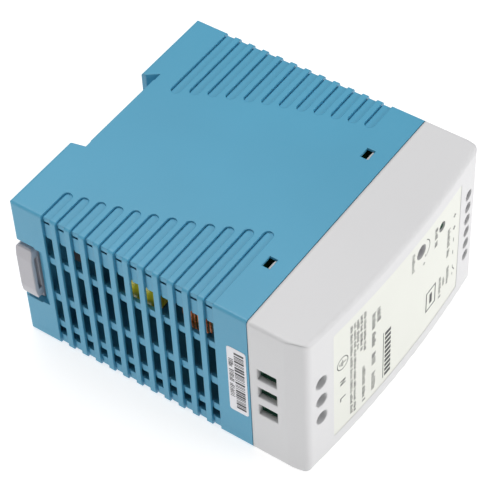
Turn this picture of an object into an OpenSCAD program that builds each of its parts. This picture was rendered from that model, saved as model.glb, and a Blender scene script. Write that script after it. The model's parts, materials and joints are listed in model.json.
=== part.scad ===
// DIN rail power supply, 55 x 90 x 101 mm: a snap-together housing on a 35 mm rail, with a three-pole
// input terminal at the bottom, a six-pole output terminal at the top and the converter inside.
// X is the width, the front faces -Y and +Z is up. The origin is the middle of the rail seat.

/* [Housing] */
// Width of the housing
case_w = 55; // [54:0.5:58]
// Height of the housing
case_h = 90; // [89:0.5:93]
// Depth from the datum plane to the crown of the front cover
total_d = 100; // [99:0.5:102]
// Depth from the datum plane to the joint of the case with the front cover
case_d = 79.4; // [78.5:0.1:80]
// Wall thickness of the case
wall = 2; // [1.8:0.1:2.2]
// Radius on the outer edges
edge_r = 1; // [0.6:0.1:1.2]
// How far the middle of the front stands proud of its top and bottom ends
front_bow = 2.6; // [1.5:0.1:3.5]

/* [Rail fixing] */
// Distance of the rear face behind the datum plane
back = 1.3; // [1:0.1:1.4]
// Depth of the rail seat in front of the datum plane
seat_d = 3.6; // [3.4:0.1:3.8]
// Height of the middle of the 35 mm rail above the bottom face
rail_z = 46.1; // [45.5:0.1:46.5]
// Travel of the release slider
slider_travel = 3.5; // [3:0.1:3.6]

/* [Ventilation] */
// Number of channels on each end face
channel_n = 12; // [6:1:12]
// Pitch of the channels
channel_pitch = 5.02; // [4.8:0.02:5.06]
// Width of one channel
channel_w = 3.15; // [2.5:0.05:3.2]
// Depth of a channel on the end faces
channel_depth = 0.8; // [0.5:0.1:0.9]
// Depth of a channel on the side faces
side_depth = 0.55; // [0.4:0.05:0.8]

/* [Terminals] */
// Pitch of the input poles
in_pitch = 7.62; // [7.5:0.01:7.62]
// Pitch of the output poles
out_pitch = 5.08; // [5:0.01:5.08]
// Radius of the screwdriver holes over the input poles
in_hole_r = 2.25; // [2.2:0.05:2.3]
// Radius of the screwdriver holes over the output poles
out_hole_r = 1.75; // [1.7:0.05:1.8]
// Travel of a clamping cage
cage_travel = 2.2; // [1.8:0.1:2.3]

/* [Hidden] */
$fn = 48;

half_w = case_w / 2;
joint_gap = 0.12;
label_t = 0.12;
label_sunk = 0.08;
bow_r = (case_h * case_h / 4 + front_bow * front_bow) / (2 * front_bow);
cover_wall = 2;
cover_r = 1.5;
boss_d = 94.8;
facet_start = 91.4;
facet_rise = 1.4;

in_x = [for (i = [-1:1]) i * in_pitch];
out_x = [for (i = [-2.5:1:2.5]) i * out_pitch];
in_screw_h = 7;
out_screw_h = case_h - 6.6;
entry_d = [82.2, 88.4];
in_entry_w = 4.3;
out_entry_w = 3.2;
led_at = [-15.3, 66.8];
trimmer_at = [-16, 54.9];
latch_h = [20.6, 69.4];
latch_d = [71.45, 74.15];

board_x = -21;
board_t = 1.6;
front_board_d = 79.3;
header_h = 28;

case_blue = "#5f9fbe";
cover_grey = "#d6d6d6";
steel = "#b9bcc0";

// Everything below is drawn from the bottom face and a datum plane just inside the rear face, with
// depths d towards the front, and moved to the rail seat here.
module to_rail() translate([0, seat_d, -rail_z]) children();

// A box between two widths, two depths behind the front and two heights.
module block(x, d, h) translate([x[0], -d[1], h[0]]) cube([x[1] - x[0], d[1] - d[0], h[1] - h[0]]);

// A profile in (y, z), swept along X.
module along_x(x0, x1) translate([x0, 0, 0]) rotate([90, 0, 90]) linear_extrude(x1 - x0) children();

// A profile in (x, z), swept from depth d0 to depth d1.
module along_y(d0, d1) translate([0, -d0, 0]) rotate([90, 0, 0]) linear_extrude(d1 - d0) children();

module rod_x(r, x, d, h) translate([x[0], -d, h]) rotate([0, 90, 0]) cylinder(r = r, h = x[1] - x[0]);

module rod_y(r, x, d, h) translate([x, -d[0], h]) rotate([90, 0, 0]) cylinder(r = r, h = d[1] - d[0]);

// A rectangle with rounded corners, between two corners.
module soft_rect(a, b, r) {
    translate([a[0] + r, a[1]]) square([b[0] - a[0] - 2 * r, b[1] - a[1]]);
    translate([a[0], a[1] + r]) square([b[0] - a[0], b[1] - a[1] - 2 * r]);
    for (x = [a[0] + r, b[0] - r], y = [a[1] + r, b[1] - r]) translate([x, y]) circle(r);
}

// ---- Housing ----

// Depth of the rear wall of channel i, and how far that channel runs up each side face.
function channel_d(i) = 10 + i * channel_pitch;
function low_run(i) = 11.6 + i + 0.062 * i * i;
function high_run(i) = low_run(11 - i);

// Section of a channel: a narrow groove at the foot of the rear wall, then a flat floor.
groove_w = 0.5;
groove_depth = 0.4;
function channel(depth) = [[0, depth + groove_depth], [groove_w, depth + groove_depth],
    [groove_w, depth], [channel_w, depth], [channel_w, -1], [0, -1]];

module end_channel(i) {
    pts = [for (p = channel(channel_depth)) [-channel_d(i) - p[0], p[1]]];
    along_x(-half_w - 1, half_w + 1) polygon(pts);
}

module side_channel(i, run) {
    pts = [for (p = channel(side_depth)) [half_w - p[1], -channel_d(i) - p[0]]];
    end_r = channel_w / 2;
    intersection() {
        translate([0, 0, -1]) linear_extrude(run + 2) polygon(pts);
        along_x(half_w - 2, half_w + 2) {
            translate([-channel_d(i) - channel_w, -2]) square([channel_w, run + 2 - end_r]);
            translate([-channel_d(i) - end_r, run - end_r]) circle(end_r);
        }
    }
}

// Openings of one channel through the end wall: a slit by the side, then four windows. Their rear
// walls slope back below the floor of the channel, so that the air passes at a slant.
window_x = [[-25.3, -24.5], [-18.6, -10.4], [-7.7, 5], [8.1, 17.1], [19.9, 23.6]];
undercut = 1.05;

module windows(i) {
    near = -channel_d(i);
    far = near - channel_w;
    for (k = [1:len(window_x) - 1]) along_x(window_x[k][0], window_x[k][1])
        polygon([[near, -1], [near, channel_depth], [near + undercut, wall], [near + undercut, wall + 1],
            [far, wall + 1], [far, -1]]);
    slit = window_x[0];
    along_y(-near, -far) polygon([[slit[0], -1], [slit[0], wall + 1], [slit[1] + 3, wall + 1],
        [slit[1], channel_depth + 0.1], [slit[1], -1]]);
}

module end_face_cuts() {
    for (i = [0:channel_n - 1]) {
        end_channel(i);
        windows(i);
    }
}

module side_cuts() {
    for (i = [0:channel_n - 1], side = [0, 1]) mirror([side, 0, 0]) {
        side_channel(i, low_run(i));
        translate([0, 0, case_h]) mirror([0, 0, 1]) side_channel(i, high_run(i));
    }
    for (h = latch_h, side = [0, 1]) mirror([side, 0, 0]) {
        block([half_w - wall - 1, half_w + 1], latch_d, [h - 2, h + 2]);
        block([half_w - wall - 1, half_w - 0.9], [latch_d[0] - 1, latch_d[1]], [h - 3.5, h + 3.5]);
    }
}

// The rail lies on the seat, with its upper edge under a sloping hook. A relief groove along each
// edge of the seat clears the burrs on the rail.
relief_d = seat_d + 0.2;

module rail_cut() {
    along_x(-half_w - 1, half_w + 1) polygon([
        [back + 1, rail_z - 19], [-relief_d, rail_z - 17.6], [-relief_d, rail_z - 15.1],
        [-seat_d, rail_z - 15.1], [-seat_d, rail_z + 15.2], [-relief_d, rail_z + 15.2],
        [-relief_d, rail_z + 18.2], [-0.35, rail_z + 15.5], [back + 1, rail_z + 15.5]
    ]);
}

slot_x = 12;
flange_x = 14;
slot_d = 4.9;
recess_d = 5.5;
recess_h = 3.2;
foot_x = 10.3;
foot_h = -1.6;
foot_front = 4.7;
plate_back = 0.25 - back;
plate_front = 4.6;

module slider_cuts() {
    block([-slot_x, slot_x], [-back - 1, slot_d], [-1, rail_z - 17]);
    block([-slot_x, slot_x], [-back - 1, recess_d], [-1, recess_h]);
    block([-flange_x, flange_x], [2.7, slot_d], [2.5, rail_z - 18.5]);
    along_x(-slot_x + 0.6, slot_x - 0.6)
        polygon([[-8.2, 0], [-recess_d, 1.7], [-recess_d, -1], [-8.2, -1]]);
}

module case_shell() to_rail() color(case_blue) {
    difference() {
        intersection() {
            along_y(-back, case_d - joint_gap) soft_rect([-half_w, 0], [half_w, case_h], edge_r);
            along_x(-half_w, half_w) soft_rect([-case_d - 9, 0], [back, case_h], edge_r);
            linear_extrude(case_h) soft_rect([-half_w, -case_d - 9], [half_w, back], edge_r);
        }
        block([wall - half_w, half_w - wall], [8, case_d + 1], [wall, case_h - wall]);
        block([wall - half_w, half_w - wall], [seat_d + wall, 9], [rail_z - 15, case_h - wall]);
        rail_cut();
        slider_cuts();
        side_cuts();
        end_face_cuts();
        translate([0, 0, case_h]) mirror([0, 0, 1]) end_face_cuts();
    }
    block([-1.8, 1.8], [2.2, slot_d + 0.5], [9, 11]);
    // Card guides for the main board
    for (top = [0, case_h], x = [board_x - board_t - 1.1, board_x + 0.1]) translate([0, 0, top])
        mirror([0, 0, top > 0 ? 1 : 0]) block([x, x + 1], [9, 70], [wall - 0.2, 4.8]);
}

// ---- Front cover ----

// The bowed front with rounded side edges, as a ring about a far axis that runs along X.
module bowed(r, half, corner) {
    translate([0, bow_r - total_d, case_h / 2]) rotate([0, 90, 0]) rotate_extrude($fn = 720)
        translate([r - 30, 0]) {
            translate([0, -half]) square([30 - corner, 2 * half]);
            if (corner > 0) {
                translate([0, -half + corner]) square([30, 2 * half - 2 * corner]);
                for (s = [-1, 1]) translate([30 - corner, s * (half - corner)]) circle(corner);
            }
        }
}

// Side outline of the cover: flat ends, then a shallow facet that turns into the front.
facet_a = atan(facet_rise / 6);
turn_r = 2.4;
function turn(k) = facet_a + k * 14;
facet_end = [[0, 0], for (k = [0:5]) [4.5 + turn_r * (sin(turn(k)) - sin(facet_a)),
    facet_rise * 0.75 + turn_r * (cos(facet_a) - cos(turn(k)))]];

module cover_outline() {
    low = [for (p = facet_end) [-facet_start - p[0], p[1]]];
    tip = [-total_d - 1, low[len(low) - 1][1] + 14];
    polygon(concat(
        [[-case_d - joint_gap, case_h], [-case_d - joint_gap, 0]],
        low, [tip],
        [[tip[0], case_h - tip[1]]],
        [for (i = [len(low) - 1:-1:0]) [low[i][0], case_h - low[i][1]]]
    ));
}

module snap_arm(h) {
    block([24, 25.25], [latch_d[0] + 1, case_d + 1.5], [h - 4, h + 4]);
    translate([0, 0, h - 1.75]) linear_extrude(3.5)
        polygon([[25, -latch_d[0] - 1], [25.3, -latch_d[0] - 1], [26.9, -latch_d[1] + 0.7],
            [26.9, -latch_d[1] + 0.25], [25, -latch_d[1] + 0.25]]);
}

module front_cover() to_rail() color(cover_grey) difference() {
    union() {
        difference() {
            intersection() {
                bowed(bow_r, half_w, cover_r);
                along_x(-half_w, half_w) cover_outline();
                along_y(case_d, total_d + 1) soft_rect([-half_w, 0], [half_w, case_h], edge_r);
            }
            difference() {
                label_block();
                label_floor();
            }
            intersection() {
                bowed(bow_r - cover_wall, half_w - cover_wall, 0);
                block([cover_wall - half_w, half_w - cover_wall], [case_d - 1, total_d],
                    [cover_wall - 0.4, case_h - cover_wall + 0.4]);
            }
        }
        // Lip that enters the case, on a flange inside the cover
        difference() {
            union() {
                block([-25.3, 25.3], [77.2, case_d + 1], [2.2, case_h - 2.2]);
                block([-25.8, 25.8], [case_d + 0.4, case_d + 1.4], [1.4, case_h - 1.4]);
            }
            block([-24.2, 24.2], [77, case_d + 2], [3.3, case_h - 3.3]);
        }
        for (h = latch_h, side = [0, 1]) mirror([side, 0, 0]) snap_arm(h);
        // Bosses behind the screwdriver holes
        for (x = in_x) rod_y(in_hole_r + 1, x, [boss_d, 97.4], in_screw_h);
        for (x = out_x) rod_y(out_hole_r + 1, x, [boss_d, 97.4], out_screw_h);
        rod_y(3.4, trimmer_at[0], [boss_d, 98.5], trimmer_at[1]);
    }
    for (x = in_x) {
        rod_y(in_hole_r, x, [90, total_d + 1], in_screw_h);
        block([x - in_entry_w / 2, x + in_entry_w / 2], entry_d, [-1, 4]);
    }
    for (x = out_x) {
        rod_y(out_hole_r, x, [90, total_d + 1], out_screw_h);
        block([x - out_entry_w / 2, x + out_entry_w / 2], entry_d, [case_h - 4, case_h + 1]);
    }
    rod_y(1.75, led_at[0], [90, total_d + 1], led_at[1]);
    rod_y(2.45, trimmer_at[0], [90, total_d + 1], trimmer_at[1]);
}

// The label lies in a shallow pocket of the cover, a little below its surface.
module label_block() along_y(90, total_d + 1) soft_rect([-21.8, 12.3], [21.8, 78.2], 0.8);

module label_floor() bowed(bow_r - label_sunk - label_t, half_w + 1, 0);

module front_label() to_rail() color("#eeeee6") difference() {
    intersection() {
        bowed(bow_r - label_sunk, half_w, 0);
        label_block();
    }
    label_floor();
    rod_y(1.75, led_at[0], [90, total_d + 1], led_at[1]);
    rod_y(2.45, trimmer_at[0], [90, total_d + 1], trimmer_at[1]);
}

module serial_sticker() to_rail() color("white") translate([0.3, -75.4, -0.12])
    linear_extrude(0.12) soft_rect([-13.8, -3.15], [13.8, 3.15], 0.9);

// ---- Rail fixing ----

spring_h = [11, 20.6];

// Foot of the slider: curved below, with round corners and a slot for the tip of a screwdriver.
module slider_foot() difference() {
    intersection() {
        along_x(-foot_x, foot_x) soft_rect([-foot_front, foot_h], [-plate_back, 8], 1.1);
        along_y(-2, 6) intersection() {
            translate([0, foot_h + 44]) circle(44, $fn = 180);
            soft_rect([-foot_x, foot_h + 0.4], [foot_x, 8], 1.8);
        }
        translate([0, 0, foot_h]) linear_extrude(recess_h - 0.3 - foot_h)
            soft_rect([-foot_x, -foot_front], [foot_x, -plate_back], 1.1);
    }
    block([-6.5, 6.5], [foot_front - 1.5, foot_front + 1], [0.1, 1.4]);
}

module release_slider() to_rail() color("#bdbcc1") difference() {
    union() {
        block([-slot_x + 0.3, slot_x - 0.3], [plate_back, plate_front], [2, rail_z - 17.9]);
        slider_foot();
        block([-flange_x + 0.3, flange_x - 0.3], [3, plate_front], [2.8 + slider_travel, rail_z - 18.6]);
        // Claw that closes behind the lower edge of the rail
        along_x(-9, 9) polygon([[-plate_back, rail_z - 18.5], [-plate_back, rail_z - 17.6],
            [-2, rail_z - 15.4], [-2.35, rail_z - 15.4], [-2.35, rail_z - 18.5]]);
    }
    block([-2.4, 2.4], [1.7, 5], [8.4, spring_h[1]]);
}

// Points of a helix and the tube swept along it.
module helix_tube(r, wire_r, length, turns) {
    steps = 20 * turns;
    sides = 8;
    function at(k) = [r * cos(k * 18), r * sin(k * 18), wire_r + (length - 2 * wire_r) * k / steps];
    function ring(k) = [for (j = [0:sides - 1])
        at(k) + wire_r * [cos(j * 45) * cos(k * 18), cos(j * 45) * sin(k * 18), sin(j * 45)]];
    pts = [for (k = [0:steps]) each ring(k)];
    walls = [for (k = [0:steps - 1], j = [0:sides - 1])
        [k * sides + j, (k + 1) * sides + j, (k + 1) * sides + (j + 1) % sides, k * sides + (j + 1) % sides]];
    polyhedron(pts, concat([[for (j = [0:sides - 1]) j]], walls,
        [[for (j = [sides - 1:-1:0]) steps * sides + j]]), convexity = 8);
}

module slider_spring() to_rail() color(steel) translate([0, -3.3, spring_h[0]])
    helix_tube(1.15, 0.2, spring_h[1] - spring_h[0] - 0.05, 7);

// ---- Terminals ----

terminal_d = [front_board_d + board_t, boss_d - 0.2];
terminal_gap = 1.75;
out_base = terminal_gap + in_screw_h + out_screw_h - case_h;
mouth_d = [82.7, 87.9];
cage_d = [82.3, 88.6];
cell_d = [82, cage_d[1] + cage_travel + 0.1];
plate_d = [85.9, 86.5];
head_d = [cell_d[1] + 0.8, 93.7];

// Insulating body of a terminal whose poles are wired from below. Each pole has a cell for its cage,
// a mouth for the wire, a shoulder behind the screw head and a rim that keeps the screw in.
module terminal_body(xs, pitch, base, mouth_w, cell_w, plate_w, thread_r, head_r) {
    h = in_screw_h;
    end = len(xs) * pitch / 2;
    difference() {
        block([-end, end], terminal_d, [base, h + 5.4]);
        for (x = xs) {
            block([x - mouth_w / 2, x + mouth_w / 2], mouth_d, [0, h]);
            block([x - cell_w / 2, x + cell_w / 2], cell_d, [h - 3, h + 3]);
            block([x - plate_w / 2, x + plate_w / 2], plate_d, [h, h + 4.7]);
            block([x - plate_w / 2, x + plate_w / 2], [terminal_d[0] - 1, plate_d[1]], [h + 4.2, h + 4.7]);
            rod_y(thread_r + 0.1, x, [90, 92], h);
            rod_y(head_r + 0.15, x, [head_d[0], head_d[1] + 0.1], h);
            rod_y(head_r - 0.15, x, [93, 96], h);
        }
    }
}

// Fixed contact of a pole: a plate inside the cage, bent back to a tail in the front board.
module contact(x, w) {
    h = in_screw_h;
    block([x - w / 2, x + w / 2], plate_d, [h - 2.9, h + 4.7]);
    block([x - w / 2, x + w / 2], [terminal_d[0] + 0.2, plate_d[1]], [h + 4.2, h + 4.7]);
    block([x - 0.4, x + 0.4], [78.6, 82], [h + 4.2, h + 4.7]);
}

// Terminal screw with a crossed and slotted head.
module terminal_screw(x, h, thread_r, head_r) to_rail() color(steel) difference() {
    union() {
        rod_y(thread_r, x, [plate_d[1] + 0.3, head_d[0] + 0.1], h);
        rod_y(head_r, x, head_d, h);
    }
    block([x - head_r - 1, x + head_r + 1], [head_d[1] - 0.8, 96], [h - 0.3, h + 0.3]);
    block([x - 0.3, x + 0.3], [head_d[1] - 0.8, 96], [h - head_r * 0.72, h + head_r * 0.72]);
}

// Clamping cage: a square loop that the screw draws forward, with the wire against the contact.
module cage(x, h, w, t, thread_r) to_rail() color("#c9c6b8") difference() {
    block([x - w / 2, x + w / 2], cage_d, [h - 2.6, h + 2.6]);
    block([x - w / 2 + t, x + w / 2 - t], [83.1, 87], [h - 3, h + 3]);
    rod_y(thread_r + 0.05, x, [86, 89], h);
}

// The output terminal is wired from above.
module at_top() translate([0, 0, out_screw_h + in_screw_h]) mirror([0, 0, 1]) children();

module input_terminal() to_rail() color("#1f5a44")
    terminal_body(in_x, in_pitch, terminal_gap, 4.2, 6.1, 4, 1.5, 2.2);

module output_terminal() to_rail() color("#1f5a44") at_top()
    terminal_body(out_x, out_pitch, out_base, 2.9, 4.2, 2.6, 1.25, 1.7);

module input_contacts() to_rail() color("#d8c07a") for (x = in_x) contact(x, 4);
module output_contacts() to_rail() color("#d8c07a") at_top() for (x = out_x) contact(x, 2.6);
module input_screw(i) terminal_screw(in_x[i - 1], in_screw_h, 1.5, 2.2);
module input_cage(i) cage(in_x[i - 1], in_screw_h, 5.7, 0.6, 1.5);
module output_screw(i) terminal_screw(out_x[i - 1], out_screw_h, 1.25, 1.7);
module output_cage(i) cage(out_x[i - 1], out_screw_h, 3.9, 0.45, 1.25);

// ---- Indicator and adjuster ----

module status_led() to_rail() color("#2f9c54") {
    rod_y(1.5, led_at[0], [94.5, 97.9], led_at[1]);
    translate([led_at[0], -97.9, led_at[1]]) sphere(1.5);
    rod_y(1.9, led_at[0], [93.6, 94.5], led_at[1]);
    for (s = [-1, 1]) block([led_at[0] - 0.25, led_at[0] + 0.25], [78.8, 93.7],
        [led_at[1] + s * 1.27 - 0.25, led_at[1] + s * 1.27 + 0.25]);
}

module led_spacer() to_rail() color("#e8e6df") difference() {
    rod_y(2.4, led_at[0], [front_board_d + board_t, 93.6], led_at[1]);
    for (s = [-1, 1]) rod_y(0.5, led_at[0], [80, 94], led_at[1] + s * 1.27);
}

module trimmer_body() to_rail() color("#3a6fb0") difference() {
    union() {
        block([trimmer_at[0] - 4.8, trimmer_at[0] + 4.8], [front_board_d + board_t, 87],
            [trimmer_at[1] - 5, trimmer_at[1] + 5]);
        rod_y(2.6, trimmer_at[0], [87, 89], trimmer_at[1]);
        for (s = [-2.5, 0, 2.5]) block([trimmer_at[0] + s - 0.3, trimmer_at[0] + s + 0.3], [78.6, 81],
            [trimmer_at[1] - 3.3, trimmer_at[1] - 2.7]);
    }
    rod_y(1.65, trimmer_at[0], [82, 90], trimmer_at[1]);
}

module trimmer_rotor() to_rail() color("#6e6e70") difference() {
    union() {
        rod_y(1.6, trimmer_at[0], [82.1, 95.6], trimmer_at[1]);
        rod_y(2.1, trimmer_at[0], [95.6, 97.9], trimmer_at[1]);
    }
    block([trimmer_at[0] - 3, trimmer_at[0] + 3], [97, 99], [trimmer_at[1] - 0.35, trimmer_at[1] + 0.35]);
}

// ---- Circuit boards ----

module main_board() to_rail() color("#3f7a4a")
    block([board_x - board_t, board_x], [9, 78.4], [4, case_h - 4]);

module front_board() to_rail() color("#3f7a4a") difference() {
    block([-23.8, 23.8], [front_board_d, front_board_d + board_t], [4, case_h - 4]);
    for (s = [-1, 1]) rod_y(0.6, led_at[0], [79, 82], led_at[1] + s * 1.27);
    for (s = [-2.5, 0, 2.5]) rod_y(0.6, trimmer_at[0] + s, [79, 82], trimmer_at[1] - 3);
    for (x = in_x) rod_y(0.6, x, [79, 82], in_screw_h + 4.45);
    for (x = out_x) rod_y(0.6, x, [79, 82], out_screw_h - 4.45);
    for (i = [0:8]) rod_y(0.5, board_x + 3.3, [79, 82], header_h + i * 2.54);
}

// Right-angled header that joins the two boards, with its first pin at header_h.
module board_header() to_rail() color("#2b2b2e") {
    block([board_x, board_x + 4.6], [74.6, 77.2], [header_h - 1.3, header_h + 21.6]);
    for (i = [0:8]) block([board_x + 3, board_x + 3.6], [77, 81.6],
        [header_h + i * 2.54 - 0.3, header_h + i * 2.54 + 0.3]);
}

module insulation_sheet() to_rail() color("#e9e4cf")
    block([wall - half_w, wall - half_w + 0.3], [9.4, 70], [6, case_h - 6]);

// ---- Components on the main board, which stand up from it towards +X ----

module fuse() to_rail() color("#d9d6cc") {
    translate([board_x + 4, -74, 7]) cylinder(r = 2.2, h = 18);
    for (h = [6, 20.4]) translate([board_x + 4, -74, h]) cylinder(r = 2.7, h = 5.6);
    for (h = [7, 23]) block([board_x, board_x + 2], [73.6, 74.4], [h, h + 0.8]);
}

// A coated disc on two wire legs, standing on the board.
module disc_part(d, h, r, t) {
    rod_y(r, board_x + r + 2, [d, d + t], h);
    for (s = [-1, 1]) block([board_x, board_x + 4], [d + t / 2 - 0.35, d + t / 2 + 0.35],
        [h + s * 2.5 - 0.35, h + s * 2.5 + 0.35]);
}

module varistor() to_rail() color("#2f6fb5") disc_part(26, 13, 6.5, 3.8);
module thermistor() to_rail() color("#33373a") disc_part(18.5, 12, 5.5, 4);
module x_capacitor() to_rail() color("#c9a63f") {
    block([board_x + 0.5, board_x + 14], [30, 37], [10, 27.5]);
    for (h = [12, 25]) block([board_x, board_x + 1], [33.2, 33.8], [h, h + 0.6]);
}
module y_capacitors() to_rail() color("#3a78b8") for (h = [30, 40]) disc_part(66, h, 3.8, 3);

// Line filter choke: a taped coil between the legs of a small core.
module filter_choke_core() to_rail() color("#3c3c3f") difference() {
    block([board_x + 1, board_x + 14.6], [38.8, 46.6], [5.4, 15.2]);
    block([board_x, board_x + 16], [41, 44.4], [7.8, 12.8]);
}

module filter_choke_coil() to_rail() color("#d6c532") {
    difference() {
        block([board_x + 2, board_x + 12.4], [38, 47.4], [3.2, 17.2]);
        block([board_x, board_x + 16], [38.8, 46.6], [5.4, 15.2]);
    }
    for (d = [39.5, 45]) block([board_x, board_x + 2.1], [d, d + 0.8], [4.9, 5.3]);
}

toroid_at = [board_x + 8.6, 59.2, 10.6];
toroid_t = 9;

module toroid_core() to_rail() color("#5a6b4a") translate([toroid_at[0], -toroid_at[1], toroid_at[2]])
    rotate([0, 90, 0]) difference() {
        cylinder(r = 7, h = toroid_t, center = true);
        cylinder(r = 4.2, h = toroid_t + 1, center = true);
    }

// Turns of wire as square hoops around the ring, spread evenly over it.
module wound_ring(at, core_r, bore_r, core_t, wire_r, turns) {
    step = 360 / turns;
    for (k = [0:turns - 1])
        translate([at[0], -at[1], at[2]]) rotate([k * step, 0, 0]) translate([0, 0, (core_r + bore_r) / 2])
            rotate([90, 0, 0]) translate([0, 0, -wire_r]) linear_extrude(2 * wire_r) difference() {
                square([core_t + 4 * wire_r + 0.2, core_r - bore_r + 4 * wire_r + 0.2], center = true);
                square([core_t + 0.2, core_r - bore_r + 0.2], center = true);
            }
}

module toroid_winding() to_rail() color("#b8662e") {
    wound_ring(toroid_at, 7, 4.2, toroid_t, 0.35, 20);
    for (s = [-1, 1])
        rod_x(0.35, [board_x, toroid_at[0] - toroid_t / 2 - 0.7], toroid_at[1] + s * 5.6, toroid_at[2]);
}

module bridge_rectifier() to_rail() color("#2c2c2e") {
    block([board_x + 2, board_x + 17], [12, 15.6], [8, 27]);
    for (i = [0:3]) block([board_x, board_x + 2.1], [13.3, 14.3], [10 + i * 5, 11 + i * 5]);
}

// An electrolytic can on two leads that stands on the board.
module can(d, h, r, length) {
    rod_x(r, [board_x + 0.4, board_x + 0.4 + length], d, h);
    for (s = [-1, 1]) rod_x(0.35, [board_x, board_x + 0.5], d, h + s * r * 0.5);
}

module bulk_capacitor() to_rail() color("#26303f") can(20, 42, 9, 34);
module output_capacitors() to_rail() color("#26303f") for (d = [14, 25.5, 37]) can(d, 79, 5, 22);

module transformer_core() to_rail() color("#39393c") difference() {
    block([board_x + 3, board_x + 27], [38.4, 62], [29, 55]);
    difference() {
        block([board_x + 8, board_x + 22], [38, 63], [33.6, 50.4]);
        rod_x(5.5, [board_x + 2, board_x + 30], 50.2, 42);
    }
}

module transformer_coil() to_rail() color("#d6c532") difference() {
    union() {
        rod_x(8.2, [board_x + 8.1, board_x + 21.9], 50.2, 42);
        for (h = [29.6, 54.4]) block([board_x, board_x + 3], [40, 61], [h - 0.4, h + 0.4]);
    }
    rod_x(5.6, [board_x + 8, board_x + 22], 50.2, 42);
}

module primary_heat_sink() to_rail() color(steel) {
    block([board_x + 0.2, board_x + 33], [32.6, 34.6], [28, 58]);
    block([board_x + 31, board_x + 33], [29.4, 32.7], [28, 58]);
}

module secondary_heat_sink() to_rail() color(steel)
    block([board_x + 0.2, board_x + 33], [43, 66], [58.6, 60.6]);

// Three-legged power package on its tab, with the tab lying on a heat sink.
module power_package(x, h) {
    block([x, x + 15], [31.1, 32.6], [h, h + 10]);
    block([x, x + 9], [28, 31.2], [h, h + 10]);
    for (s = [2.4, 5, 7.6]) block([board_x, x + 0.1], [29.6, 30.2], [h + s - 0.4, h + s + 0.4]);
}

module primary_switch() to_rail() color("#2c2c2e") power_package(-8, 47);

module output_rectifier() to_rail() color("#2c2c2e") {
    block([-8, 7], [52, 62], [60.6, 62.1]);
    block([-8, 1], [52, 62], [62, 65.2]);
    for (s = [2.4, 5, 7.6]) block([board_x, -7.9], [52 + s - 0.4, 52 + s + 0.4], [63.4, 64]);
}

module heat_sink_screws() to_rail() color(steel) {
    rod_y(2.6, 4.2, [29.3, 31.1], 52);
    translate([4.2, -57, 62.1]) cylinder(r = 2.6, h = 1.8);
}

module output_choke() to_rail() color("#b8662e") {
    translate([board_x + 6.6, -56, 76]) rotate([0, 90, 0]) difference() {
        translate([0, 0, -4.5]) cylinder(r = 9, h = 9);
        translate([0, 0, -5]) cylinder(r = 4, h = 10);
    }
    for (s = [-1, 1]) rod_x(0.5, [board_x, board_x + 3], 56, 76 + s * 6.5);
}

module optocouplers() to_rail() color("#e6e3da") for (h = [47, 53.5]) {
    block([board_x + 0.4, board_x + 4], [64.6, 71], [h, h + 4.6]);
    for (d = [64, 71.3]) block([board_x, board_x + 1.9], [d, d + 0.3], [h + 0.6, h + 4]);
    block([board_x + 1.4, board_x + 1.9], [64, 71.6], [h + 0.6, h + 4]);
}

module alarm_relay() to_rail() color("#2b3f63")
    block([board_x, board_x + 15.5], [69, 76.4], [64, 84]);

case_shell();
front_cover();
front_label();
serial_sticker();
release_slider();
slider_spring();
input_terminal();
input_contacts();
output_terminal();
output_contacts();
input_screw(1);  // input_screw_1
input_screw(2);  // input_screw_2
input_screw(3);  // input_screw_3
input_cage(1);  // input_cage_1
input_cage(2);  // input_cage_2
input_cage(3);  // input_cage_3
output_screw(1);  // output_screw_1
output_screw(2);  // output_screw_2
output_screw(3);  // output_screw_3
output_screw(4);  // output_screw_4
output_screw(5);  // output_screw_5
output_screw(6);  // output_screw_6
output_cage(1);  // output_cage_1
output_cage(2);  // output_cage_2
output_cage(3);  // output_cage_3
output_cage(4);  // output_cage_4
output_cage(5);  // output_cage_5
output_cage(6);  // output_cage_6
status_led();
led_spacer();
trimmer_body();
trimmer_rotor();
main_board();
front_board();
board_header();
insulation_sheet();
fuse();
varistor();
thermistor();
x_capacitor();
y_capacitors();
filter_choke_core();
filter_choke_coil();
toroid_core();
toroid_winding();
bridge_rectifier();
bulk_capacitor();
transformer_core();
transformer_coil();
primary_heat_sink();
primary_switch();
secondary_heat_sink();
output_rectifier();
heat_sink_screws();
output_choke();
output_capacitors();
optocouplers();
alarm_relay();
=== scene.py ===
import json
import math
import random

import bmesh
import bpy
from mathutils import Matrix, Vector
from mathutils.bvhtree import BVHTree


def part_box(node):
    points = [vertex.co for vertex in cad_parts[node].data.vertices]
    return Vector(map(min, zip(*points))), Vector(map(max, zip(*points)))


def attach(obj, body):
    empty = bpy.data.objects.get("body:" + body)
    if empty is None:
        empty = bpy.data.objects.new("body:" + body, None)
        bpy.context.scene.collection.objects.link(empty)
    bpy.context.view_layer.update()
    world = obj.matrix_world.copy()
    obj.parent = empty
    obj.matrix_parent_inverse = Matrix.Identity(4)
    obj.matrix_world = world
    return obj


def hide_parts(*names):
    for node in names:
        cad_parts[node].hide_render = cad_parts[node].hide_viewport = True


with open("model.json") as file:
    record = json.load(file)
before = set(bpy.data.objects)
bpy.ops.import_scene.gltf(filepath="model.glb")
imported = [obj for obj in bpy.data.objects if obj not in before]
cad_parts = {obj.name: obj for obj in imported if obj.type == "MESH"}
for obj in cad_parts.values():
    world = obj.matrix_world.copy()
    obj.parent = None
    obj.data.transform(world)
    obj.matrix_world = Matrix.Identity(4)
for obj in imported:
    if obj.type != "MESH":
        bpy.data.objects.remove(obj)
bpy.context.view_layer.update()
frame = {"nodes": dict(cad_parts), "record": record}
NODES = frame["nodes"]
MM = 0.001


# ---- Places, from the frame ----

case_lo, case_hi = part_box("case_shell")
label_lo, label_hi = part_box("front_label")
sticker_lo, sticker_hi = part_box("serial_sticker")
BOTTOM = case_lo[2]


# ---- Materials ----

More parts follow.
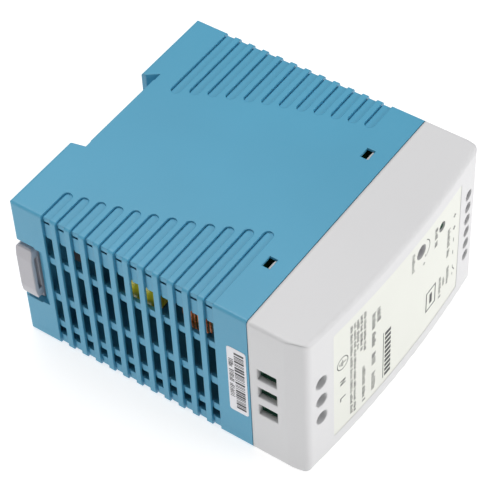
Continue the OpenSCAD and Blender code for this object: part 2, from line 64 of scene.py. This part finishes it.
def new_material(name):
    mat = bpy.data.materials.new(name)
    mat.use_nodes = True
    tree = mat.node_tree
    return mat, tree, tree.nodes["Principled BSDF"]


def object_coords(tree):
    return tree.nodes.new("ShaderNodeTexCoord").outputs["Object"]


def noise(tree, scale, detail=3.0, rough=0.5, stretch=None):
    node = tree.nodes.new("ShaderNodeTexNoise")
    node.inputs["Scale"].default_value = scale
    node.inputs["Detail"].default_value = detail
    node.inputs["Roughness"].default_value = rough
    coords = object_coords(tree)
    if stretch:
        mapping = tree.nodes.new("ShaderNodeMapping")
        mapping.inputs["Scale"].default_value = stretch
        tree.links.new(coords, mapping.inputs["Vector"])
        coords = mapping.outputs["Vector"]
    tree.links.new(coords, node.inputs["Vector"])
    return node.outputs["Fac"]


def ramp(tree, fac, stops):
    node = tree.nodes.new("ShaderNodeValToRGB")
    elements = node.color_ramp.elements
    while len(elements) < len(stops):
        elements.new(0.5)
    for element, (place, colour) in zip(elements, stops):
        element.position = place
        element.color = (*colour, 1)
    tree.links.new(fac, node.inputs["Fac"])
    return node.outputs["Color"]


def span(tree, fac, low, high, from_low=0.3, from_high=0.7):
    node = tree.nodes.new("ShaderNodeMapRange")
    node.inputs["From Min"].default_value = from_low
    node.inputs["From Max"].default_value = from_high
    node.inputs["To Min"].default_value = low
    node.inputs["To Max"].default_value = high
    tree.links.new(fac, node.inputs["Value"])
    return node.outputs["Result"]


def bump(tree, height, distance, strength=1.0, below=None):
    node = tree.nodes.new("ShaderNodeBump")
    node.inputs["Strength"].default_value = strength
    node.inputs["Distance"].default_value = distance
    tree.links.new(height, node.inputs["Height"])
    if below is not None:
        tree.links.new(below, node.inputs["Normal"])
    return node.outputs["Normal"]


def eased_edges(tree, radius):
    """Normals that turn smoothly over a small radius at the sharp edges of a moulding."""
    node = tree.nodes.new("ShaderNodeBevel")
    node.samples = 6
    node.inputs["Radius"].default_value = radius
    return node.outputs["Normal"]


def shade(colour, factor):
    return tuple(min(1.0, c * factor) for c in colour)


def moulded(name, colour, rough=0.42, grain=0.010, spread=0.035, cells=1400, edge=0.12):
    """Moulded plastic: faint flow patches in the colour, fine spark-erosion grain and uneven sheen."""
    mat, tree, bsdf = new_material(name)
    flow = noise(tree, 26, 2.0)
    fine = noise(tree, cells, 3.0, 0.6)
    tint = ramp(tree, flow, [(0.3, shade(colour, 1 - spread)), (0.7, shade(colour, 1 + spread))])
    tree.links.new(tint, bsdf.inputs["Base Color"])
    tree.links.new(span(tree, fine, rough - 0.06, rough + 0.07), bsdf.inputs["Roughness"])
    waves = bump(tree, noise(tree, 90, 1.0), 0.02 * MM, 0.25, eased_edges(tree, edge * MM))
    tree.links.new(bump(tree, fine, grain * MM, 0.6, waves), bsdf.inputs["Normal"])
    bsdf.inputs["Specular IOR Level"].default_value = 0.6
    return mat


def metal(name, colour, rough=0.3, brushed=(1, 1, 1), spread=0.05):
    """Plated or plain metal: fine drawn lines, slightly mottled plating."""
    mat, tree, bsdf = new_material(name)
    lines = noise(tree, 1500, 4.0, 0.6, brushed)
    cloud = noise(tree, 160, 3.0)
    tint = ramp(tree, cloud, [(0.3, shade(colour, 1 - spread)), (0.7, shade(colour, 1 + spread))])
    tree.links.new(tint, bsdf.inputs["Base Color"])
    tree.links.new(span(tree, lines, rough - 0.08, rough + 0.12), bsdf.inputs["Roughness"])
    tree.links.new(bump(tree, lines, 0.004 * MM, 0.5), bsdf.inputs["Normal"])
    bsdf.inputs["Metallic"].default_value = 1.0
    return mat


def enamelled(name, colour):
    """Lacquered winding wire: bright copper under a clear, glossy film."""
    mat, tree, bsdf = new_material(name)
    cloud = noise(tree, 700, 3.0)
    tint = ramp(tree, cloud, [(0.3, shade(colour, 0.8)), (0.7, shade(colour, 1.12))])
    tree.links.new(tint, bsdf.inputs["Base Color"])
    tree.links.new(span(tree, cloud, 0.22, 0.34), bsdf.inputs["Roughness"])
    bsdf.inputs["Metallic"].default_value = 0.3
    bsdf.inputs["Coat Weight"].default_value = 0.4
    bsdf.inputs["Coat Roughness"].default_value = 0.08
    return mat


def coated(name, colour, rough=0.25, spread=0.06, pits=0.02, coat=0.4):
    """Dipped or lacquered surface: thick glossy coat with shallow waves."""
    mat, tree, bsdf = new_material(name)
    cloud = noise(tree, 220, 3.0)
    tint = ramp(tree, cloud, [(0.3, shade(colour, 1 - spread)), (0.7, shade(colour, 1 + spread))])
    tree.links.new(tint, bsdf.inputs["Base Color"])
    tree.links.new(span(tree, cloud, rough - 0.05, rough + 0.08), bsdf.inputs["Roughness"])
    tree.links.new(bump(tree, noise(tree, 500, 2.0), pits * MM, 0.5), bsdf.inputs["Normal"])
    bsdf.inputs["Coat Weight"].default_value = coat
    bsdf.inputs["Coat Roughness"].default_value = 0.12
    return mat


def layered_tape(name, colour):
    """Polyester tape wound in layers: faint ridges at the layer edges and a satin gloss."""
    mat, tree, bsdf = new_material(name)
    wave = tree.nodes.new("ShaderNodeTexWave")
    wave.bands_direction = "Z"
    wave.inputs["Scale"].default_value = 190
    wave.inputs["Distortion"].default_value = 1.5
    wave.inputs["Detail"].default_value = 2
    tree.links.new(object_coords(tree), wave.inputs["Vector"])
    cloud = noise(tree, 300, 3.0)
    tint = ramp(tree, cloud, [(0.3, shade(colour, 0.86)), (0.7, shade(colour, 1.08))])
    tree.links.new(tint, bsdf.inputs["Base Color"])
    tree.links.new(span(tree, wave.outputs["Fac"], 0.22, 0.4, 0, 1), bsdf.inputs["Roughness"])
    tree.links.new(bump(tree, wave.outputs["Fac"], 0.05 * MM, 0.5), bsdf.inputs["Normal"])
    bsdf.inputs["Coat Weight"].default_value = 0.3
    return mat


def circuit_mask(name):
    """Green solder mask over copper tracks on glass-epoxy."""
    mat, tree, bsdf = new_material(name)
    cells = tree.nodes.new("ShaderNodeTexVoronoi")
    cells.feature = "DISTANCE_TO_EDGE"
    cells.inputs["Scale"].default_value = 260
    tree.links.new(object_coords(tree), cells.inputs["Vector"])
    track = ramp(tree, cells.outputs["Distance"],
                 [(0.0, (0.02, 0.13, 0.055)), (0.08, (0.02, 0.13, 0.055)), (0.12, (0.045, 0.23, 0.095)),
                  (1.0, (0.05, 0.25, 0.10))])
    tree.links.new(track, bsdf.inputs["Base Color"])
    weave = noise(tree, 1800, 2.0, 0.5, (1, 0.3, 1))
    tree.links.new(span(tree, weave, 0.2, 0.34), bsdf.inputs["Roughness"])
    tree.links.new(bump(tree, cells.outputs["Distance"], 0.03 * MM, 0.4), bsdf.inputs["Normal"])
    bsdf.inputs["Coat Weight"].default_value = 0.5
    return mat


def clear_epoxy(name, colour):
    """Tinted clear epoxy of the lamp."""
    mat, tree, bsdf = new_material(name)
    cloud = noise(tree, 600, 2.0)
    tint = ramp(tree, cloud, [(0.3, shade(colour, 0.85)), (0.7, shade(colour, 1.15))])
    tree.links.new(tint, bsdf.inputs["Base Color"])
    tree.links.new(span(tree, cloud, 0.16, 0.26), bsdf.inputs["Roughness"])
    bsdf.inputs["Transmission Weight"].default_value = 0.2
    bsdf.inputs["IOR"].default_value = 1.4
    bsdf.inputs["Specular IOR Level"].default_value = 0.3
    return mat


def printed_film(name, colour):
    """Satin label film: very fine texture and a soft, uneven gloss."""
    mat, tree, bsdf = new_material(name)
    cloud = noise(tree, 30, 2.0)
    fine = noise(tree, 2600, 3.0, 0.6)
    tint = ramp(tree, cloud, [(0.3, shade(colour, 0.985)), (0.7, shade(colour, 1.01))])
    tree.links.new(tint, bsdf.inputs["Base Color"])
    tree.links.new(span(tree, fine, 0.34, 0.48), bsdf.inputs["Roughness"])
    tree.links.new(bump(tree, fine, 0.004 * MM, 0.5), bsdf.inputs["Normal"])
    bsdf.inputs["Specular IOR Level"].default_value = 0.35
    return mat


def ink(name, colour):
    mat, tree, bsdf = new_material(name)
    fine = noise(tree, 2200, 3.0, 0.6)
    tint = ramp(tree, fine, [(0.3, shade(colour, 0.85)), (0.7, shade(colour, 1.25))])
    tree.links.new(tint, bsdf.inputs["Base Color"])
    tree.links.new(span(tree, fine, 0.4, 0.55), bsdf.inputs["Roughness"])
    return mat


BLUE = (0.078, 0.373, 0.568)
GREY = (0.752, 0.749, 0.758)
MATERIALS = {
    "blue_case": moulded("case_plastic", BLUE, 0.40, 0.012, 0.03, edge=0.32),
    "grey_cover": moulded("cover_plastic", GREY, 0.44, 0.012, 0.015, edge=1.1),
    "label_film": printed_film("label_film", (0.825, 0.835, 0.772)),
    "sticker": printed_film("sticker_paper", (0.93, 0.92, 0.96)),
    "slider_plastic": moulded("slider_plastic", (0.535, 0.525, 0.560), 0.42, 0.012, 0.02, edge=0.4),
    "spring_wire": metal("spring_wire", (0.60, 0.60, 0.61), 0.25),
    "terminal_green": moulded("terminal_plastic", (0.030, 0.125, 0.080), 0.40),
    "plated_brass": metal("plated_brass", (0.72, 0.62, 0.38), 0.28),
    "zinc_steel": metal("zinc_steel", (0.60, 0.61, 0.64), 0.32),
    "cage_steel": metal("cage_steel", (0.66, 0.65, 0.62), 0.28),
    "led_green": clear_epoxy("lamp_epoxy", (0.003, 0.050, 0.020)),
    "white_nylon": moulded("spacer_nylon", (0.75, 0.74, 0.70), 0.5),
    "trimmer_blue": moulded("trimmer_plastic", (0.035, 0.13, 0.42), 0.36),
    "trimmer_cap": moulded("rotor_plastic", (0.13, 0.13, 0.135), 0.42),
    "circuit_board": circuit_mask("solder_mask"),
    "black_plastic": moulded("black_plastic", (0.018, 0.018, 0.02), 0.42),
    "insulating_film": printed_film("insulating_film", (0.72, 0.68, 0.54)),
    "fuse_ceramic": moulded("fuse_ceramic", (0.72, 0.69, 0.62), 0.6),
    "blue_epoxy": coated("blue_epoxy", (0.02, 0.12, 0.42)),
    "black_epoxy": moulded("black_epoxy", (0.02, 0.02, 0.022), 0.5, 0.02),
    "yellow_box": moulded("yellow_box", (0.62, 0.40, 0.05), 0.34),
    "ferrite": moulded("ferrite", (0.028, 0.028, 0.030), 0.55, 0.03, 0.12, 900),
    "yellow_tape": layered_tape("yellow_tape", (0.86, 0.74, 0.05)),
    "toroid_coating": coated("toroid_coating", (0.03, 0.12, 0.03)),
    "enamelled_copper": enamelled("enamelled_copper", (0.90, 0.27, 0.07)),
    "capacitor_sleeve": coated("capacitor_sleeve", (0.012, 0.016, 0.035), 0.3, 0.1),
    "heat_sink_aluminium": metal("heat_sink_aluminium", (0.72, 0.73, 0.74), 0.34, (1, 0.06, 1)),
    "optocoupler_body": moulded("optocoupler_body", (0.68, 0.66, 0.58), 0.5),
    "relay_case": moulded("relay_case", (0.015, 0.035, 0.13), 0.32),
}
INK = ink("label_ink", (0.030, 0.030, 0.033))
SMALL_INK = ink("small_ink", (0.028, 0.028, 0.031))
BAR_INK = ink("bar_ink", (0.030, 0.030, 0.033))

slot_of = {part["node"]: part["material_slot"] for part in frame["record"]["subparts"]}
for node, obj in NODES.items():
    for place in obj.material_slots:
        place.material = MATERIALS[slot_of[node]]


# ---- Adding a piece ----

def add_mesh(name, mesh, material, body):
    obj = bpy.data.objects.new(name, mesh)
    bpy.context.collection.objects.link(obj)
    mesh.materials.append(material)
    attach(obj, body)
    return obj


# ---- Print on the label and the sticker: plain blocks and generic terminal marks ----
# Places on the label are (x, height above the bottom of the case) in mm.

def surface_of(node):
    mesh = NODES[node].data
    corners = [v.co.copy() for v in mesh.vertices]
    return BVHTree.FromPolygons(corners, [tuple(p.vertices) for p in mesh.polygons])


label_surface = surface_of("front_label")
PRINT_LIFT = 0.02 * MM


def on_label(x, h):
    """The point on the front of the label at x and height h above the bottom, in mm."""
    start = Vector((x * MM, label_lo[1] - 0.02, BOTTOM + h * MM))
    hit = label_surface.ray_cast(start, Vector((0, 1, 0)))[0]
    depth = hit.y if hit else label_lo[1]
    return Vector((start.x, depth - PRINT_LIFT, start.z))


def on_sticker(x, d):
    """The point on the sticker at x and distance d in front of its rear edge, in mm."""
    return Vector((x * MM, sticker_hi[1] - d * MM, sticker_lo[2] - PRINT_LIFT))


class Print:
    """Collects flat printed shapes and makes them one piece."""

    def __init__(self, place, facing):
        self.work = bmesh.new()
        self.place = place
        self.facing = Vector(facing)

    def shape(self, points):
        corners = [self.place(*p) for p in points]
        normal = (corners[1] - corners[0]).cross(corners[2] - corners[1])
        if normal.dot(self.facing) < 0:
            corners.reverse()
        self.work.faces.new([self.work.verts.new(c) for c in corners])

    def bar(self, x0, x1, y0, y1):
        self.shape([(x0, y0), (x1, y0), (x1, y1), (x0, y1)])

    def stroke(self, a, b, width):
        along = Vector((b[0] - a[0], b[1] - a[1])).normalized()
        side = Vector((-along.y, along.x)) * width / 2
        ends = [Vector(a) - side, Vector(b) - side, Vector(b) + side, Vector(a) + side]
        self.shape([tuple(e) for e in ends])

    def arc(self, centre, radius, width, start, end, steps=24):
        for k in range(steps):
            a0, a1 = (math.radians(start + (end - start) * (k + j) / steps) for j in (0, 1))
            near, far = radius - width / 2, radius + width / 2
            ring = [(near, a0), (far, a0), (far, a1), (near, a1)]
            self.shape([(centre[0] + r * math.cos(a), centre[1] + r * math.sin(a)) for r, a in ring])

    def words(self, x0, x1, middle, size, draw):
        """A line of short upright strokes in groups, in place of printed words."""
        x = x0
        low = middle - size / 2
        while x < x1 - size * 0.4:
            for _ in range(draw.randint(5, 13)):
                if x > x1 - size * 0.2:
                    break
                height = size * draw.choice((1.0, 1.0, 0.8, 0.7))
                width = size * draw.choice((0.18, 0.18, 0.27))
                self.bar(x, x + width, low, low + height)
                x += width + size * draw.choice((0.13, 0.18, 0.27))
            x += size * 0.6

    def piece(self, name, material):
        mesh = bpy.data.meshes.new(name)
        self.work.to_mesh(mesh)
        self.work.free()
        return add_mesh(name, mesh, material, "housing")


def label_print():
    draw = random.Random(4)
    bold = Print(on_label, (0, -1, 0))
    fine = Print(on_label, (0, -1, 0))
    # Name block with its underline, then the supply data
    block_pitch, block_w = 1.98, 1.35
    for k in range(10):
        x = 0.2 + k * block_pitch
        bold.bar(x, x + block_w, 36.4, 39.4)
    bold.bar(-0.4, 19.6, 35.5, 35.8)
    fine.words(-13.9, -6.3, 33.2, 1.9, draw)
    for x0, x1 in ((-13.7, 0.5), (3.3, 8.2), (11.9, 20.2)):
        fine.words(x0, x1, 30.8, 1.9, draw)
    for x0, x1, h in ((-18.5, -2.3, 26.5), (-18.4, -3.7, 24.9), (-18.2, -5.7, 23.3),
                      (-18.3, 20.0, 21.9), (-18.4, 19.9, 20.3)):
        fine.words(x0, x1, h, 1.1, draw)
    fine.words(4.4, 20.1, 26.1, 1.5, draw)
    # Earth sign in its circle, N and L
    bold.arc((-6.8, 16.3), 2.35, 0.28, 0, 360, 40)
    bold.stroke((-6.8, 17.9), (-6.8, 16.4), 0.3)
    for k in range(3):
        bold.stroke((-8.1 + k * 0.42, 16.3 - k * 0.62), (-5.5 - k * 0.42, 16.3 - k * 0.62), 0.28)
    for x in (0.75, 2.25):
        bold.stroke((x, 15.2), (x, 17.6), 0.42)
    bold.stroke((0.8, 17.5), (2.2, 15.3), 0.42)
    bold.stroke((8.25, 15.2), (8.25, 17.6), 0.42)
    bold.stroke((8.1, 15.4), (9.6, 15.4), 0.4)
    # Output poles, plus and minus, and the sign for a switched contact
    for x, plus in ((-12.5, True), (-7.4, True), (-2.3, False), (3.05, False)):
        bold.stroke((x - 0.8, 74.7), (x + 0.8, 74.7), 0.36)
        if plus:
            bold.stroke((x, 73.9), (x, 75.5), 0.36)
    bold.stroke((8.9, 75.0), (9.9, 75.0), 0.28)
    bold.stroke((9.9, 75.0), (11.9, 76.2), 0.28)
    bold.stroke((12.1, 75.0), (13.2, 75.0), 0.28)
    for x0, x1, h, size in ((-9.8, 1.85, 71.4, 1.7), (6.6, 14.8, 71.8, 1.5), (8.8, 13.2, 69.4, 1.4),
                            (6.6, 15.4, 67.1, 1.4), (-17.7, -9.9, 63.4, 1.6), (-18.9, -10.4, 50.6, 1.6)):
        fine.words(x0, x1, h, size, draw)
    # A plain framed mark
    for x in (6.2, 13.9):
        bold.stroke((x, 59.0), (x, 64.2), 0.5)
    for h in (59.0, 64.2):
        bold.stroke((5.95, h), (14.15, h), 0.5)
    bold.bar(8.0, 12.1, 60.9, 62.3)
    # Scale arc of the adjuster, with its plus and minus ends
    bold.arc((-15.3, 55.8), 3.75, 0.26, 150, 28, 20)
    bold.stroke((-12.9, 57.2), (-11.9, 57.2), 0.24)
    bold.stroke((-10.2, 56.6), (-9.0, 56.6), 0.24)
    bold.stroke((-9.6, 56.0), (-9.6, 57.2), 0.24)
    bold.piece("label_marks", INK)
    fine.piece("label_lines", SMALL_INK)


def sticker_print():
    draw = random.Random(9)
    bars = Print(on_sticker, (0, 0, -1))
    x = -11.9
    while x < 12.9:
        width = draw.choice((0.28, 0.28, 0.5, 0.8))
        bars.bar(x, min(x + width, 13.1), 2.4, 5.6)
        x += width + draw.choice((0.3, 0.3, 0.55))
    bars.words(-8.6, 8.0, 1.3, 1.6, draw)
    bars.piece("sticker_bars", BAR_INK)


label_print()
sticker_print()


# ---- Windings ----

def tube(name, path, radius, material, body, sides=8):
    """A round wire along a path, as a mesh with closed ends."""
    work = bmesh.new()
    rings = []
    count = len(path)
    # Any start serves that doesn't point along the first stretch
    normal = Vector((0.1, 0.2, 1))
    for k, point in enumerate(path):
        ahead = path[min(k + 1, count - 1)] - path[max(k - 1, 0)]
        ahead.normalize()
        normal = (normal - ahead * normal.dot(ahead)).normalized()
        other = ahead.cross(normal)
        turn = [2 * math.pi * j / sides for j in range(sides)]
        around = [normal * math.cos(a) + other * math.sin(a) for a in turn]
        rings.append([work.verts.new(point + out * radius) for out in around])
    for near, far in zip(rings, rings[1:]):
        for j in range(sides):
            work.faces.new((near[j], near[(j + 1) % sides], far[(j + 1) % sides], far[j]))
    work.faces.new(list(reversed(rings[0])))
    work.faces.new(rings[-1])
    bmesh.ops.recalc_face_normals(work, faces=work.faces)
    mesh = bpy.data.meshes.new(name)
    work.to_mesh(mesh)
    work.free()
    for face in mesh.polygons:
        face.use_smooth = len(face.vertices) == 4
    return add_mesh(name, mesh, material, body)


def ring_winding(name, ring, wire, turns):
    """Wire wound round a ring whose axis is X, with its two ends running to the board at low X."""
    bore_share, first_angle, wound_angle = 0.6, 105, 330
    per_turn, squareness = 20, 0.35
    lo, hi = (Vector(c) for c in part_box(ring))
    centre = (lo + hi) / 2
    radius = (hi.z - lo.z) / 2
    outer, inner = radius + wire, radius * bore_share - wire
    half = (hi.x - lo.x) / 2 + wire
    mid, reach = (outer + inner) / 2, (outer - inner) / 2
    path = []
    steps = int(turns * per_turn)
    for k in range(steps + 1):
        around = math.radians(first_angle + wound_angle * k / steps)
        over = 2 * math.pi * turns * k / steps
        c, s = math.cos(over), math.sin(over)
        r = mid + reach * math.copysign(abs(c) ** squareness, c)
        x = half * math.copysign(abs(s) ** squareness, s)
        path.append(centre + Vector((x, r * math.sin(around), r * math.cos(around))))
    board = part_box("main_board")[1][0]
    path.insert(0, Vector((board, path[0].y, path[0].z)))
    path.append(Vector((board, path[-1].y, path[-1].z)))
    return tube(name, path, wire, MATERIALS["enamelled_copper"], "housing")


toroid_wire = ring_winding("toroid_wire", "toroid_core", 0.36 * MM, 38.5)
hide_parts("toroid_winding")


# ---- Light, floor and camera ----

def area_light(name, place, aim, size, power):
    data = bpy.data.lights.new(name, "AREA")
    data.shape = "SQUARE"
    data.size = size
    data.energy = power
    lamp = bpy.data.objects.new(name, data)
    lamp.location = place
    lamp.rotation_euler = (Vector(aim) - Vector(place)).to_track_quat("-Z", "Y").to_euler()
    bpy.context.collection.objects.link(lamp)


def studio():
    middle = (0, -0.03, 0)
    area_light("side", (-0.95, 0.25, 0.12), middle, 0.7, 6.3)
    area_light("front", (-0.34, -0.92, 0.28), middle, 0.5, 4.0)
    area_light("end", (-0.20, 0.35, -0.85), middle, 0.6, 1.1)
    world = bpy.data.worlds.new("studio")
    world.use_nodes = True
    tree = world.node_tree
    seen = tree.nodes["Background"]
    seen.inputs["Color"].default_value = (1, 1, 1, 1)
    seen.inputs["Strength"].default_value = 1.0
    fill = tree.nodes.new("ShaderNodeBackground")
    fill.inputs["Color"].default_value = (1, 1, 1, 1)
    fill.inputs["Strength"].default_value = 0.21
    path = tree.nodes.new("ShaderNodeLightPath")
    mix = tree.nodes.new("ShaderNodeMixShader")
    tree.links.new(path.outputs["Is Camera Ray"], mix.inputs["Fac"])
    tree.links.new(fill.outputs["Background"], mix.inputs[1])
    tree.links.new(seen.outputs["Background"], mix.inputs[2])
    tree.links.new(mix.outputs["Shader"], tree.nodes["World Output"].inputs["Surface"])
    bpy.context.scene.world = world
    bpy.context.scene.view_settings.view_transform = "Standard"


def floor():
    """The supply lies on its right side in the picture, so the floor is at that side."""
    size = 4.0
    gap = 0.3 * MM
    x = case_hi[0] + gap
    corners = [(x, -size, -size), (x, -size, size), (x, size, size), (x, size, -size)]
    mesh = bpy.data.meshes.new("floor")
    mesh.from_pydata(corners, [], [(0, 1, 2, 3)])
    obj = bpy.data.objects.new("floor", mesh)
    bpy.context.collection.objects.link(obj)
    mat, tree, bsdf = new_material("floor_white")
    bsdf.inputs["Base Color"].default_value = (0.5, 0.5, 0.5, 1)
    bsdf.inputs["Roughness"].default_value = 0.9
    bsdf.inputs["Specular IOR Level"].default_value = 0.0
    bsdf.inputs["Emission Color"].default_value = (1, 1, 1, 1)
    bsdf.inputs["Emission Strength"].default_value = 0.72
    clear = tree.nodes.new("ShaderNodeBsdfTransparent")
    side = tree.nodes.new("ShaderNodeNewGeometry")
    mix = tree.nodes.new("ShaderNodeMixShader")
    tree.links.new(side.outputs["Backfacing"], mix.inputs["Fac"])
    tree.links.new(bsdf.outputs["BSDF"], mix.inputs[1])
    tree.links.new(clear.outputs["BSDF"], mix.inputs[2])
    tree.links.new(mix.outputs["Shader"], tree.nodes["Material Output"].inputs["Surface"])
    mesh.materials.append(mat)
    if mesh.polygons[0].normal.x > 0:
        mesh.flip_normals()


def camera():
    """The camera stands in front of, to the left of and below the supply, turned with it on its side."""
    data = bpy.data.cameras.new("camera")
    data.sensor_width = 36
    data.lens = 145.55
    data.clip_start = 0.01
    data.clip_end = 20
    right = Vector((0.0378, -0.8192, 0.5723))
    down = Vector((0.6704, -0.4039, -0.6224))
    ahead = Vector((0.7410, 0.4072, 0.5339))
    place = Vector((-0.42353, -0.27715, -0.30911))
    turn = Matrix((right, -down, -ahead)).transposed().to_4x4()
    obj = bpy.data.objects.new("camera", data)
    obj.matrix_world = Matrix.Translation(place) @ turn
    bpy.context.collection.objects.link(obj)
    bpy.context.scene.camera = obj


studio()
floor()
camera()
